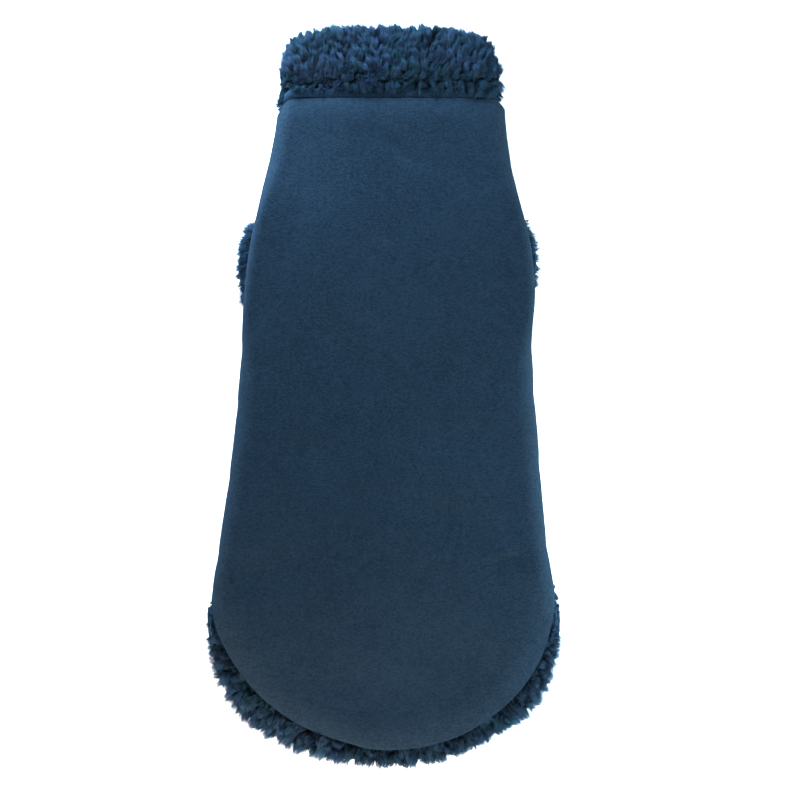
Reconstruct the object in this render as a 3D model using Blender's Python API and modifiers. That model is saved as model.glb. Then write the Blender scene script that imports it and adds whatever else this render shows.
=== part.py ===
"""A cat's fleece jumper, laid flat on its belly with its back up. Metres, +Z up, the collar towards +Y.

It is smooth fleece outside and sherpa pile inside. The pile shows at the collar, at the two cuffs, and all
round the hem, where the lining reaches past the fleece. Every piece that is cut and sewn on is one closed
solid, 0.3 mm from its neighbours. Sizes are millimetres until mesh_object() turns them into metres.
"""

import math
from collections import namedtuple

import bmesh
import bpy

MM = 0.001
ORIGIN = (1.3, 1.4)  # the part's own origin, under the middle of its outline, in the sizes below

# Cloth
FLEECE = 2.5  # the smooth outer cloth
PILE = 6.0  # the belly lining, pile and backing
ARM_WALL = 5.0  # a sleeve's fleece with its lining, and a cuff's pile
SEAM_GAP = 0.3
SLIT = 2.4  # left open inside the collar, the neck band and the arms

# Lie of the body
CROWN = 1.5  # the middle of the back above its shoulders
SEAM_INSET = 24.0  # the belly seam, in from the outline seen from above
NECK_Y = 160.5
# By side, the neck edge's fall at its end and the share of the edge that is straight
NECK_CORNER = {-1: (9.5, 0.83), 1: (6.0, 0.88)}
NECK_EASE = 34.0  # how far down the rows of points still follow the neck edge's fall
BELLY_HEM_Y = -109.0
BELLY_PILE_REACH = 8.0  # pile past the belly hem
LININGS_MEET = 9.3  # the back lining's underside, just clear of the belly lining
FLAP_START = -127.0  # behind the belly hem the back lining comes down to the floor
FLAP_DROP = 26.0
FACET_ROOM = 0.9  # between curved layers whose facets differ
PILE_SHARES = (0.45, 0.8, 0.96, 1.0)  # lines along the pile, out from the hem
PILE_CLEARS_HEM = 2.2  # at the sides the pile spreads out only past the fleece's end

# An edge that turns down: over what width, and by how much
Roll = namedtuple("Roll", "width fall")
NECK_ROLL = Roll(12.0, 3.2)
HEM_ROLL = Roll(16.0, 4.0)

# The fleece's outline seen from above, and the height of the middle of the back
Section = namedtuple("Section", "y left right height")
BODY = [
    Section(166.0, -54.4, 65.5, 20.0),
    Section(150.0, -56.3, 66.9, 20.8),
    Section(137.0, -58.4, 68.1, 21.6),
    Section(120.0, -62.0, 70.8, 22.8),
    Section(102.0, -65.9, 75.0, 24.2),
    Section(86.0, -69.4, 79.1, 25.2),
    Section(70.0, -72.0, 81.6, 25.2),
    Section(54.0, -73.8, 82.4, 24.4),
    Section(34.0, -74.8, 81.2, 23.2),
    Section(12.0, -76.4, 81.7, 22.4),
    Section(-20.0, -79.2, 83.9, 22.0),
    Section(-53.0, -83.4, 86.4, 21.8),
    Section(-79.0, -87.2, 89.2, 21.2),
    Section(-105.0, -91.0, 93.1, 20.0),
    Section(-130.0, -93.0, 95.1, 17.4),
    Section(-160.0, -94.0, 95.7, 13.2),
    Section(-200.0, -94.0, 95.7, 11.6),
]

# The back's rounded hem, and how far the lining's pile reaches past it
HemPoint = namedtuple("HemPoint", "x y reach")
HEM = [
    HemPoint(-91.6, -108.0, 2.4),
    HemPoint(-90.4, -118.5, 4.0),
    HemPoint(-86.7, -130.0, 7.2),
    HemPoint(-79.5, -143.2, 10.6),
    HemPoint(-70.6, -155.5, 13.8),
    HemPoint(-58.9, -166.6, 15.0),
    HemPoint(-46.4, -175.2, 14.0),
    HemPoint(-32.9, -181.4, 13.4),
    HemPoint(-18.6, -186.2, 11.6),
    HemPoint(-2.0, -190.0, 9.0),
    HemPoint(21.3, -188.6, 9.4),
    HemPoint(41.9, -182.6, 9.6),
    HemPoint(56.2, -174.4, 10.4),
    HemPoint(70.0, -163.2, 12.4),
    HemPoint(79.5, -151.6, 11.4),
    HemPoint(86.3, -139.4, 9.2),
    HemPoint(90.4, -126.6, 6.4),
    HemPoint(92.8, -115.0, 3.8),
    HemPoint(93.4, -106.5, 2.4),
]

# Soft troughs in the back
Trough = namedtuple("Trough", "x y degrees half_length half_width depth")
TROUGHS = [
    Trough(18.0, 127.0, -42.0, 15.0, 5.0, 1.1),
    Trough(-14.0, 18.0, -48.0, 30.0, 11.0, 1.1),
    Trough(46.0, -22.0, 2.0, 34.0, 8.0, 0.8),
    Trough(-62.0, -94.0, 14.0, 26.0, 9.0, 1.2),
    Trough(40.0, -62.0, -8.0, 38.0, 8.0, 0.8),
    Trough(-50.0, 84.0, 70.0, 26.0, 9.0, 0.8),
]

# The neck band's and the collar's outline from above, and their lowest and highest lines
NeckRing = namedtuple("NeckRing", "y left right low high")
BAND = [
    NeckRing(160.9, -53.0, 63.4, 1.6, 16.6),
    NeckRing(165.5, -53.0, 63.4, 1.6, 16.6),
]
COLLAR = [
    NeckRing(165.8, -53.0, 63.4, 1.6, 16.6),
    NeckRing(170.5, -55.8, 65.6, 0.3, 21.6),
    NeckRing(178.0, -55.2, 64.2, 0.0, 23.8),
    NeckRing(185.5, -53.2, 61.8, 0.0, 23.8),
    NeckRing(191.0, -51.2, 60.0, 0.0, 23.0),
    NeckRing(196.0, -48.0, 56.6, 0.2, 22.0),
    NeckRing(202.0, -44.0, 52.0, 0.6, 21.4),
]
COLLAR_LIP = 8.0  # the length over which the collar's top edge rolls in
COLLAR_SAG = 2.8  # the collar's top edge is lower at its two ends

# The sleeves lie flat under the body and point outwards
Arm = namedtuple("Arm", "side y tip")
ARMS = {"left": Arm(-1, 70.5, -78.6), "right": Arm(1, 72.5, 85.0)}
ARM_HALF_WIDTH = 25.0
ARM_HEIGHT = 12.5
ARM_TIP_RADIUS = 38.0  # a cuff's end is a shallow arc from above
ARM_CLEARANCE = 0.4  # between a sleeve and the back that lies on it
ARM_TENT = (25.0, 62.0)  # the back comes down from the sleeve to the floor between these distances
ARM_ROOM = (70.0, 86.0)  # room kept between the layers over a sleeve eases away between these
ARMHOLE = (29.0, 41.0)  # the armhole's cut eases away between these
ARMHOLE_IN_BACK = 5.0
ARMHOLE_IN_BELLY = 6.0
BELLY_LIFT = 14.0  # how far in from its edge the belly climbs to the ends of an armhole
CUFF_LENGTH = 12.5

# Lines of points across and along the cloth
ACROSS_TOP = 17
ROUND_FOLD = 4  # on each quarter of a side fold
UNDER_FOLD = 2
ALONG_BODY = 23
ALONG_FLAP = 8
BODY_END_Y = -99.0  # behind this each line of the back runs on to its own end

COLOURS = {
    "fleece": (0.020, 0.048, 0.094),
    "sherpa": (0.016, 0.040, 0.078),
    "band": (0.014, 0.036, 0.072),
}


def mix(a, b, t):
    return a + (b - a) * t


def smoothstep(t):
    t = min(max(t, 0.0), 1.0)
    return t * t * (3.0 - 2.0 * t)


def spaced(count, ease):
    """Values from 0 to 1, closer together at both ends as ease goes from 0 to 1."""
    even = [n / (count - 1) for n in range(count)]
    return [mix(t, 0.5 - 0.5 * math.cos(math.pi * t), ease) for t in even]


BODY_YS = [mix(NECK_Y, BODY_END_Y, t) for t in spaced(ALONG_BODY, 0.5)]


def read(table, column, y):
    """A table's column at y, on a smooth curve through its rows."""
    rows = sorted(table)
    y = min(max(y, rows[0].y), rows[-1].y)
    i = max(n for n in range(len(rows) - 1) if rows[n].y <= y)
    value = [getattr(row, column) for row in rows]

    def slope(n):
        low, high = max(n - 1, 0), min(n + 1, len(rows) - 1)
        return (value[high] - value[low]) / (rows[high].y - rows[low].y)

    span = rows[i + 1].y - rows[i].y
    t = (y - rows[i].y) / span
    start = value[i] * (1 + 2 * t) + slope(i) * span * t
    end = value[i + 1] * (3 - 2 * t) + slope(i + 1) * span * (t - 1)
    return start * (1 - t) ** 2 + end * t * t


def rounded_hem(steps=6):
    """Points along the hem from left to right, on a smooth curve through its table."""
    points = []
    for i in range(len(HEM) - 1):
        four = HEM[max(i - 1, 0)], HEM[i], HEM[i + 1], HEM[min(i + 2, len(HEM) - 1)]
        for n in range(steps):
            t = n / steps
            weights = (
                (-t + 2 * t**2 - t**3) / 2,
                (2 - 5 * t**2 + 3 * t**3) / 2,
                (t + 4 * t**2 - 3 * t**3) / 2,
                (t**3 - t**2) / 2,
            )
            points.append(HemPoint(*(sum(w * p[k] for w, p in zip(weights, four)) for k in range(3))))
    return [*points, HEM[-1]]


HEM_LINE = rounded_hem()


def hem_at(x):
    """The y of the hem at x."""
    if x <= HEM_LINE[0].x:
        return HEM_LINE[0].y
    for a, b in zip(HEM_LINE, HEM_LINE[1:]):
        if x <= b.x:
            return mix(a.y, b.y, (x - a.x) / max(b.x - a.x, 1e-6))
    return HEM_LINE[-1].y


def hem_distance(x, y):
    """How far (x, y) is from the hem."""
    best = math.inf
    for a, b in zip(HEM_LINE, HEM_LINE[1:]):
        dx, dy = b.x - a.x, b.y - a.y
        t = min(max(((x - a.x) * dx + (y - a.y) * dy) / (dx * dx + dy * dy), 0.0), 1.0)
        best = min(best, math.hypot(x - a.x - t * dx, y - a.y - t * dy))
    return best


def past_hem(x, y):
    """The way straight out from the hem at (x, y), and how far the pile reaches there."""
    i = min(range(len(HEM_LINE)), key=lambda n: math.hypot(HEM_LINE[n].x - x, HEM_LINE[n].y - y))
    a, b = HEM_LINE[max(i - 1, 0)], HEM_LINE[min(i + 1, len(HEM_LINE) - 1)]
    length = math.hypot(b.x - a.x, b.y - a.y)
    return (b.y - a.y) / length, (a.x - b.x) / length, HEM_LINE[i].reach


def side_of(x):
    return -1 if x < 0 else 1


def arm_distance(side, y):
    return abs(y - ARMS["left" if side < 0 else "right"].y)


def outline(side, y):
    return read(BODY, "left" if side < 0 else "right", y)


def armhole(side, y):
    """1 along an armhole and 0 away from it."""
    start, end = ARMHOLE
    return 1.0 - smoothstep((arm_distance(side, y) - start) / (end - start))


def back_seam(side, y):
    """The x of the back's lower edge, under the body."""
    return outline(side, y) - side * (SEAM_INSET - ARMHOLE_IN_BACK * armhole(side, y))


def belly_seam(side, y):
    return outline(side, y) - side * (SEAM_INSET + SEAM_GAP + ARMHOLE_IN_BELLY * armhole(side, y))


def near_arm(side, y):
    """1 where a sleeve lifts the layers over it, easing to 0 away from it."""
    start, end = ARM_ROOM
    return 1.0 - smoothstep((arm_distance(side, y) - start) / (end - start))


def fold_low(side, y):
    """The underside of the side fold: on the floor, or lying on a sleeve."""
    start, end = ARM_TENT
    return (ARM_HEIGHT + ARM_CLEARANCE) * (1.0 - smoothstep((arm_distance(side, y) - start) / (end - start)))


def fold(side, y):
    """The half-round side fold at y: the x of its outline, its radius and the height of its middle."""
    low, high = fold_low(side, y), read(BODY, "height", y) - CROWN
    return outline(side, y), (high - low) / 2.0, (high + low) / 2.0


def neck_fall(x):
    """How far the neck edge has fallen away at x, towards its two ends."""
    side = side_of(x)
    corner, straight = NECK_CORNER[side]
    across = min(abs(x / outline(side, NECK_Y - corner)), 1.0)
    return corner * max(0.0, (across - straight) / (1.0 - straight)) ** 2


def rolled(distance, roll):
    """The fall of a surface at a distance from its edge."""
    return roll.fall * max(0.0, 1.0 - distance / roll.width) ** 2


def trough_depth(x, y):
    depth = 0.0
    for t in TROUGHS:
        turn = math.radians(t.degrees)
        along = (x - t.x) * math.cos(turn) + (y - t.y) * math.sin(turn)
        across = (y - t.y) * math.cos(turn) - (x - t.x) * math.sin(turn)
        depth += t.depth * math.exp(-((along / t.half_length) ** 2) - (across / t.half_width) ** 2)
    return depth


def back_height(x, y):
    """The height of the back's outer face above (x, y)."""
    edge, radius, middle = fold(side_of(x), y)
    inside = abs(edge) - abs(x)
    fall = rolled(hem_distance(x, y), HEM_ROLL) + rolled(NECK_Y - neck_fall(x) - y, NECK_ROLL)
    fall += trough_depth(x, y)
    if inside >= radius:
        return middle + radius + CROWN * (1.0 - (x / (abs(edge) - radius)) ** 2) - fall
    turned = math.sqrt(max(0.0, 1.0 - (1.0 - max(inside, 0.0) / radius) ** 2))
    return middle + (radius - fall) * turned


def belly_lift(x, y):
    """How far the belly is off the floor. It climbs to the back's lower edge at an armhole's ends."""
    side = side_of(x)
    start, end = ARMHOLE
    at_end = smoothstep((arm_distance(side, y) - ARM_HALF_WIDTH) / (end - ARM_HALF_WIDTH))
    inside = abs(belly_seam(side, y)) - abs(x)
    return fold_low(side, y) * at_end * (1.0 - smoothstep(inside / BELLY_LIFT))


def mesh_object(name, points, faces, colour):
    """A named object from points in millimetres, with its own material."""
    bm = bmesh.new()
    verts = [bm.verts.new(((x - ORIGIN[0]) * MM, (y - ORIGIN[1]) * MM, z * MM)) for x, y, z in points]
    for face in faces:
        bm.faces.new([verts[i] for i in face])
    mesh = bpy.data.meshes.new(name)
    bm.to_mesh(mesh)
    bm.free()
    mesh.shade_smooth()
    material = bpy.data.materials.new(name)
    material.use_nodes = True
    shader = material.node_tree.nodes["Principled BSDF"]
    shader.inputs["Base Color"].default_value = (*COLOURS[colour], 1.0)
    shader.inputs["Roughness"].default_value = 0.95
    shader.inputs["Metallic"].default_value = 0.0
    mesh.materials.append(material)
    obj = bpy.data.objects.new(name, mesh)
    COLLECTION.objects.link(obj)
    return obj


def grid_faces(columns, rows, flip=False):
    faces = []
    for c in range(columns - 1):
        for r in range(rows - 1):
            a, b = c * rows + r, (c + 1) * rows + r
            face = (a, a + 1, b + 1, b)
            faces.append(face[::-1] if flip else face)
    return faces


def cloth(name, points, faces, colour):
    """Fleece behind an open surface whose normals point out."""
    panel = mesh_object(name, points, faces, colour)
    solidify = panel.modifiers.new("cloth", "SOLIDIFY")
    solidify.thickness = FLEECE * MM
    solidify.offset = -1.0
    solidify.use_even_offset = True
    return panel


def moved_in(panel, depth):
    """The points of an open surface, in millimetres, moved in along its normals."""
    bm = bmesh.new()
    bm.from_mesh(panel.data)
    bm.normal_update()
    points = [v.co / MM - v.normal * v.calc_shell_factor() * depth for v in bm.verts]
    bm.free()
    return [(p.x + ORIGIN[0], p.y + ORIGIN[1], p.z) for p in points]


def pad(name, top, bottom, colour):
    """A closed pad between two grids of points, columns[row], whose outlines meet halfway."""
    columns, rows = len(top), len(top[0])
    points = []
    upper, lower = {}, {}
    for c in range(columns):
        for r in range(rows):
            upper[c, r] = lower[c, r] = len(points)
            if c in (0, columns - 1) or r in (0, rows - 1):
                points.append([mix(a, b, 0.5) for a, b in zip(top[c][r], bottom[c][r])])
            else:
                lower[c, r] += 1
                points += [top[c][r], bottom[c][r]]
    faces = []
    for c in range(columns - 1):
        for r in range(rows - 1):
            corners = [(c, r), (c, r + 1), (c + 1, r + 1), (c + 1, r)]
            faces.append([upper[corner] for corner in corners])
            faces.append([lower[corner] for corner in reversed(corners)])
    return mesh_object(name, points, faces, colour)


def fold_point(side, y, turn):
    """(x, z) on the side fold, turned from its outline up towards the back."""
    edge, radius, middle = fold(side, y)
    return edge - side * radius * (1.0 - math.cos(turn)), middle + radius * math.sin(turn)


def back_line(kind, share, side):
    """One lengthwise line of the back, from the neck edge to the hem."""

    def point(y):
        if kind == "top":
            left, right = (outline(s, y) - s * fold(s, y)[1] for s in (-1, 1))
            x = mix(left, right, share)
            return x, y, back_height(x, y)
        if kind == "upper":
            x = fold_point(side, y, share * math.pi / 2)[0]
            return x, y, back_height(x, y)
        if kind == "lower":
            x, z = fold_point(side, y, (share - 1.0) * math.pi / 2)
            return x, y, z
        x, z = fold_point(side, y, -math.pi / 2)
        return mix(back_seam(side, y), x, share), y, z

    start, end = NECK_Y, BELLY_HEM_Y
    for _ in range(6):
        start = NECK_Y - neck_fall(point(start)[0])
    if kind in ("top", "upper"):
        low, high = min(p.y for p in HEM) - 1.0, max(p.y for p in HEM) + 6.0
        for _ in range(30):
            end = mix(low, high, 0.5)
            inside = end > hem_at(point(end)[0])
            low, high = (low, end) if inside else (end, high)
    even = [(n + 1) / ALONG_FLAP for n in range(ALONG_FLAP)]
    flap_ys = [mix(BODY_END_Y, end, mix(t, math.sin(t * math.pi / 2), 0.6)) for t in even]
    fallen = NECK_Y - start
    body_ys = [y - fallen * max(0.0, 1.0 - (NECK_Y - y) / NECK_EASE) for y in BODY_YS]
    return [point(y) for y in (*body_ys, *flap_ys)]


def back_panel():
    """The back: over the top, round both side folds and under to the belly seams."""
    half = [("under", n / UNDER_FOLD) for n in range(UNDER_FOLD)]
    half += [("lower", n / ROUND_FOLD) for n in range(ROUND_FOLD)]
    half += [("upper", n / ROUND_FOLD) for n in range(ROUND_FOLD)]
    columns = [(*place, -1) for place in half]
    columns += [("top", share, 0) for share in spaced(ACROSS_TOP, 0.35)]
    columns += [(*place, 1) for place in reversed(half)]
    points = [point for column in columns for point in back_line(*column)]
    return cloth("back_panel", points, grid_faces(len(columns), ALONG_BODY + ALONG_FLAP), "fleece")


def belly_panel():
    """The belly: flat on the floor between the two seams, cut away at the armholes."""
    across, along = spaced(13, 0.45), [*BODY_YS, BELLY_HEM_Y]
    points = []
    for share in across:
        for y in along:
            x = mix(belly_seam(-1, y), belly_seam(1, y), share)
            points.append((x, y, belly_lift(x, y)))
    return cloth("belly_panel", points, grid_faces(len(across), len(along), flip=True), "fleece")


def lining_underside(x, y):
    """The height of the back lining's lower face: over the lower layers, then down to the floor."""
    side = side_of(x)
    low = fold_low(side, y)
    slope = (fold_low(side, y + 1.0) - fold_low(side, y - 1.0)) / 2.0
    depth = (FLEECE + SEAM_GAP) * math.hypot(1.0, slope) + FACET_ROOM * near_arm(side, y)
    from_seam = abs(belly_seam(side, y)) - abs(x)
    on_belly = low * (1.0 - smoothstep(from_seam / (BELLY_LIFT + 3.0))) + depth + SEAM_GAP
    edge, radius, _ = fold(side, y)
    over_belly = smoothstep((abs(edge) - radius - abs(x)) / (SEAM_INSET - radius - 2.0))
    height = mix(low + depth, max(LININGS_MEET, on_belly), over_belly)
    return height * (1.0 - smoothstep((FLAP_START - y) / FLAP_DROP))


def back_lining(panel):
    """The sherpa under the back, made from the back's points. Its pile shows past the hem."""
    outer = moved_in(panel, 0.0)
    inner = moved_in(panel, FLEECE + SEAM_GAP)
    along = ALONG_BODY + ALONG_FLAP
    columns = len(inner) // along

    def line_of(points, column):
        line = points[column * along : (column + 1) * along]
        return [line[0], [mix(a, b, 0.25) for a, b in zip(line[0], line[1])], *line[1:]]

    top, bottom = [], []
    outermost = UNDER_FOLD + ROUND_FOLD
    for c in range(outermost, columns - outermost):
        above = line_of(inner, c)
        from_left, from_right = c - outermost, columns - 1 - outermost - c
        if from_left <= ROUND_FOLD:
            below = line_of(inner, outermost - from_left)
        elif from_right <= ROUND_FOLD:
            below = line_of(inner, columns - 1 - outermost + from_right)
        else:
            below = [(x, y, lining_underside(x, y)) for x, y, _ in above]
        hem_x, hem_y, _ = line_of(outer, c)[-1]
        out_x, out_y, reach = past_hem(hem_x, hem_y)
        clear_y = -PILE_CLEARS_HEM * abs(out_x)
        x, y, high = above[-1]
        low = below[-1][2]
        above.append((x, y + clear_y, high))
        below.append((x, y + clear_y, low))
        for share in PILE_SHARES:
            x, y = hem_x + out_x * reach * share, hem_y + out_y * reach * share + clear_y
            round_off = math.sqrt(1.0 - share**3)
            above.append((x, y, high * round_off))
            below.append((x, y, lining_underside(x, y) * round_off))
        top.append(above)
        bottom.append(below)
    return pad("back_lining", top, bottom, "sherpa")


def belly_lining():
    """The sherpa on the belly, past its hem by the length of the pile."""
    low = FLEECE + SEAM_GAP
    start, end = NECK_Y - SEAM_GAP, BELLY_HEM_Y - BELLY_PILE_REACH

    def edge(side, y):
        return belly_seam(side, y) - side * (1.0 + BELLY_LIFT * near_arm(side, y))

    top, bottom = [], []
    for share in spaced(11, 0.8):
        ys = [mix(start, end, t) for t in spaced(19, 0.5)]
        plan = [(mix(edge(-1, y), edge(1, y), share), y) for y in ys]
        top.append([(x, y, low + PILE) for x, y in plan])
        bottom.append([(x, y, low) for x, y in plan])
    return pad("belly_lining", top, bottom, "sherpa")


def flat_tube_point(place, left, right, low, high):
    """(across, up) at a place round a flattened tube with half-round ends."""
    run, t = place
    radius = (high - low) / 2
    if run == "low":
        return mix(left + radius, right - radius, t), low
    if run == "high":
        return mix(right - radius, left + radius, t), high
    turn = math.pi * t
    if run == "right":
        return right - radius + radius * math.sin(turn), low + radius - radius * math.cos(turn)
    return left + radius - radius * math.sin(turn), low + radius + radius * math.cos(turn)


def flat_tube_places(straight, turn):
    runs = (("low", straight), ("right", turn), ("high", straight), ("left", turn))
    return [(run, n / count) for run, count in runs for n in range(count)]


def wall_profile(length, lip, outer_steps, lip_steps, inner_steps):
    """(along, depth) down a tube's wall: its outer face, its lip, its inner face. Depth goes from 0 to 1."""
    profile = [(mix(0.0, length - lip, n / outer_steps), 0.0) for n in range(outer_steps)]
    for n in range(lip_steps + 1):
        turn = math.pi * n / lip_steps
        profile.append((length - lip + lip * math.sin(turn), (1.0 - math.cos(turn)) / 2))
    profile += [(mix(length - lip, 0.0, n / inner_steps), 1.0) for n in range(1, inner_steps + 1)]
    return profile


def tube_faces(loops, around, flip):
    """Faces of a tube's wall, closed from its last loop to its first."""
    faces = []
    for i in range(loops):
        for j in range(around):
            this, other = i * around, ((i + 1) % loops) * around
            face = (this + j, this + (j + 1) % around, other + (j + 1) % around, other + j)
            faces.append(face[::-1] if flip else face)
    return faces


def neck_tube(name, rings, profile, sag, straighten, colour):
    """A flattened tube at the neck with a narrow slit inside it. It starts along the neck edge."""
    places = flat_tube_places(11, 6)
    length = rings[-1].y - rings[0].y
    points = []
    for along, depth in profile:
        y = rings[0].y + along
        left, right, low, high = (read(rings, column, y) for column in NeckRing._fields[1:])
        low = max(low, 0.0)
        inset = depth * (high - low - SLIT) / 2
        for place in places:
            x, z = flat_tube_point(place, left + inset, right - inset, low + inset, high - inset)
            across = (x - mix(left, right, 0.5)) / (right - left) * 2
            fall = neck_fall(x) * (1.0 - straighten * along / length) ** 2
            points.append((x, y - fall - sag * along / length * across**2, z))
    return mesh_object(name, points, tube_faces(len(profile), len(places), flip=True), colour)


def arm_tube(name, arm, loops, colour):
    """A flattened tube on the floor. A loop is its depth in the wall, from 0 to 1, and its x at (y, z)."""
    places = flat_tube_places(8, 6)
    points = []
    for depth, x_at in loops:
        inset = depth * ARM_WALL
        half = ARM_HALF_WIDTH - inset
        for place in places:
            across, z = flat_tube_point(place, -half, half, inset, ARM_HEIGHT - inset)
            points.append((x_at(arm.y + across, z), arm.y + across, z))
    return mesh_object(name, points, tube_faces(len(loops), len(places), flip=arm.side < 0), colour)


def arm_end(arm, y, back):
    """The x of a cuff's end at y, or of a line that far back from it."""
    return arm.tip - arm.side * (back + (y - arm.y) ** 2 / (2 * ARM_TIP_RADIUS))


def sleeve(name, arm):
    """The short sleeve, from the armhole to the cuff."""

    def x_at(share):
        def at(y, z):
            start = belly_seam(arm.side, y) + arm.side * SEAM_GAP
            start = mix(start, back_seam(arm.side, y), z / ARM_HEIGHT)
            return mix(start, arm_end(arm, y, CUFF_LENGTH + SEAM_GAP), share)

        return at

    outer = [(0.0, x_at(share)) for share in (0.0, 0.33, 0.66, 1.0)]
    inner = [(1.0, x_at(share)) for share in (1.0, 0.5, 0.0)]
    return arm_tube(name, arm, outer + inner, "fleece")


def cuff(name, arm):
    """The sherpa cuff, with a rolled lip."""

    def x_at(along):
        return lambda y, z: arm_end(arm, y, CUFF_LENGTH - along)

    profile = wall_profile(CUFF_LENGTH, ARM_WALL / 2, 3, 5, 2)
    return arm_tube(name, arm, [(depth, x_at(along)) for along, depth in profile], "sherpa")


for old in list(bpy.data.objects):
    bpy.data.objects.remove(old)
COLLECTION = bpy.data.collections.new("cat_fleece_jumper")
bpy.context.scene.collection.children.link(COLLECTION)

back = back_panel()
back_lining(back)
belly_panel()
belly_lining()
band_length = BAND[-1].y - BAND[0].y
band_profile = [(0.0, 0.0), (band_length, 0.0), (band_length, 1.0), (0.0, 1.0)]
collar_profile = wall_profile(COLLAR[-1].y - COLLAR[0].y, COLLAR_LIP, 5, 7, 3)
neck_tube("neck_band", BAND, band_profile, 0.0, 0.0, "band")
neck_tube("collar", COLLAR, collar_profile, COLLAR_SAG, 1.0, "sherpa")
for side_name, side_arm in ARMS.items():
    sleeve(f"sleeve_{side_name}", side_arm)
    cuff(f"cuff_{side_name}", side_arm)
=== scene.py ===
"""The looks of a cat's fleece jumper, laid flat on its belly with its back up.

Every cloth is laid on the form of its solid. The pile is modelled as locks of fine strands that
part into wisps, over a ground of close curls. Sizes are millimetres, in the same drawing as the
solids, until placed() turns them into the frame's metres.
"""

import math
from collections import namedtuple

import bpy
import numpy as np
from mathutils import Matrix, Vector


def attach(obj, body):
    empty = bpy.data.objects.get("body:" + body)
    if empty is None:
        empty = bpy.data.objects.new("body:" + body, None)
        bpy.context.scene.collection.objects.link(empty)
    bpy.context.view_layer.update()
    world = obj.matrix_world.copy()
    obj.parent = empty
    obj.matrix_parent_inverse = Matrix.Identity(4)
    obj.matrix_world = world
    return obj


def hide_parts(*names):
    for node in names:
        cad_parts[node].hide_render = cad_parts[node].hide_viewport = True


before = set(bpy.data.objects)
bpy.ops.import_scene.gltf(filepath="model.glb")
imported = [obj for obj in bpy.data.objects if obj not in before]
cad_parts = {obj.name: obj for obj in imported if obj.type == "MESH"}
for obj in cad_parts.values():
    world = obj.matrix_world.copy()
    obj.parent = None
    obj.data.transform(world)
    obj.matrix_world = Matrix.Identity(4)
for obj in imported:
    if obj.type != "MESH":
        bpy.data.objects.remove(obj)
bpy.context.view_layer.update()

MM = 0.001
seeded = np.random.default_rng
ORIGIN = np.array((1.3, 1.4, 0))  # the frame's origin, in this drawing


def table_of(columns, *rows):
    """A list of rows with named columns."""
    row = namedtuple("Row", columns)
    return [row(*values) for values in rows]


# ---- sizes of the cut and the lie

FLEECE = 2.5
SEAM_GAP = 0.3
ARM_WALL = 5
SLIT = 2.4
CROWN = 1.5
SEAM_INSET = 24
NECK_Y = 160.5
NECK_CORNER = (9.5, 6)  # left, right
NECK_STRAIGHT = (0.83, 0.88)
BELLY_HEM_Y = -109
BODY_END_Y = -99
HEM_SPAN = (-191, -100.5)  # the y between which the back's hem lies
EDGE_ROUND = 1.1  # the rounding of a fleece edge
EDGE_ANGLE = 62  # degrees
SEAM_WIDTH = 4  # how far from a seam it draws the cloth in
SEAM_WAVES = (9, 26)

Roll = namedtuple("Roll", "width fall")
NECK_ROLL = Roll(12, 3.2)
HEM_ROLL = Roll(16, 4)

BODY = table_of(
    "y left right height",
    (166, -54.4, 65.5, 20),
    (150, -56.3, 66.9, 20.8),
    (137, -58.4, 68.1, 21.6),
    (120, -62, 70.8, 22.8),
    (102, -65.9, 75, 24.2),
    (86, -69.4, 79.1, 25.2),
    (70, -72, 81.6, 25.2),
    (54, -73.8, 82.4, 24.4),
    (34, -74.8, 81.2, 23.2),
    (12, -76.4, 81.7, 22.4),
    (-20, -79.2, 83.9, 22),
    (-53, -83.4, 86.4, 21.8),
    (-79, -87.2, 89.2, 21.2),
    (-105, -91, 93.1, 20),
    (-130, -93, 95.1, 17.4),
    (-160, -94, 95.7, 13.2),
    (-200, -94, 95.7, 11.6),
)

# The back's hem, with how far the locks of the trim reach past it
HEM = table_of(
    "x y reach",
    (-91.6, -108, 2.4),
    (-90.4, -118.5, 3.6),
    (-86.7, -130, 7.8),
    (-79.5, -143.2, 12.2),
    (-70.6, -155.5, 15.2),
    (-58.9, -166.6, 16),
    (-46.4, -175.2, 14.4),
    (-32.9, -181.4, 13.4),
    (-18.6, -186.2, 11.6),
    (-2, -190, 9.4),
    (21.3, -188.6, 10.4),
    (41.9, -182.6, 9.6),
    (56.2, -174.4, 10.4),
    (70, -163.2, 12.4),
    (79.5, -151.6, 11.4),
    (86.3, -139.4, 9.2),
    (90.4, -126.6, 6.4),
    (92.8, -115, 3.8),
    (93.4, -106.5, 2.4),
)

# Soft troughs that the solid has too
TROUGHS = table_of(
    "x y degrees half_length half_width depth",
    (18, 127, -42, 15, 5, 1.1),
    (-14, 18, -48, 30, 11, 1.1),
    (46, -22, 2, 34, 8, 0.8),
    (-62, -94, 14, 26, 9, 1.2),
    (40, -62, -8, 38, 8, 0.8),
    (-50, 84, 70, 26, 9, 0.8),
)

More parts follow.
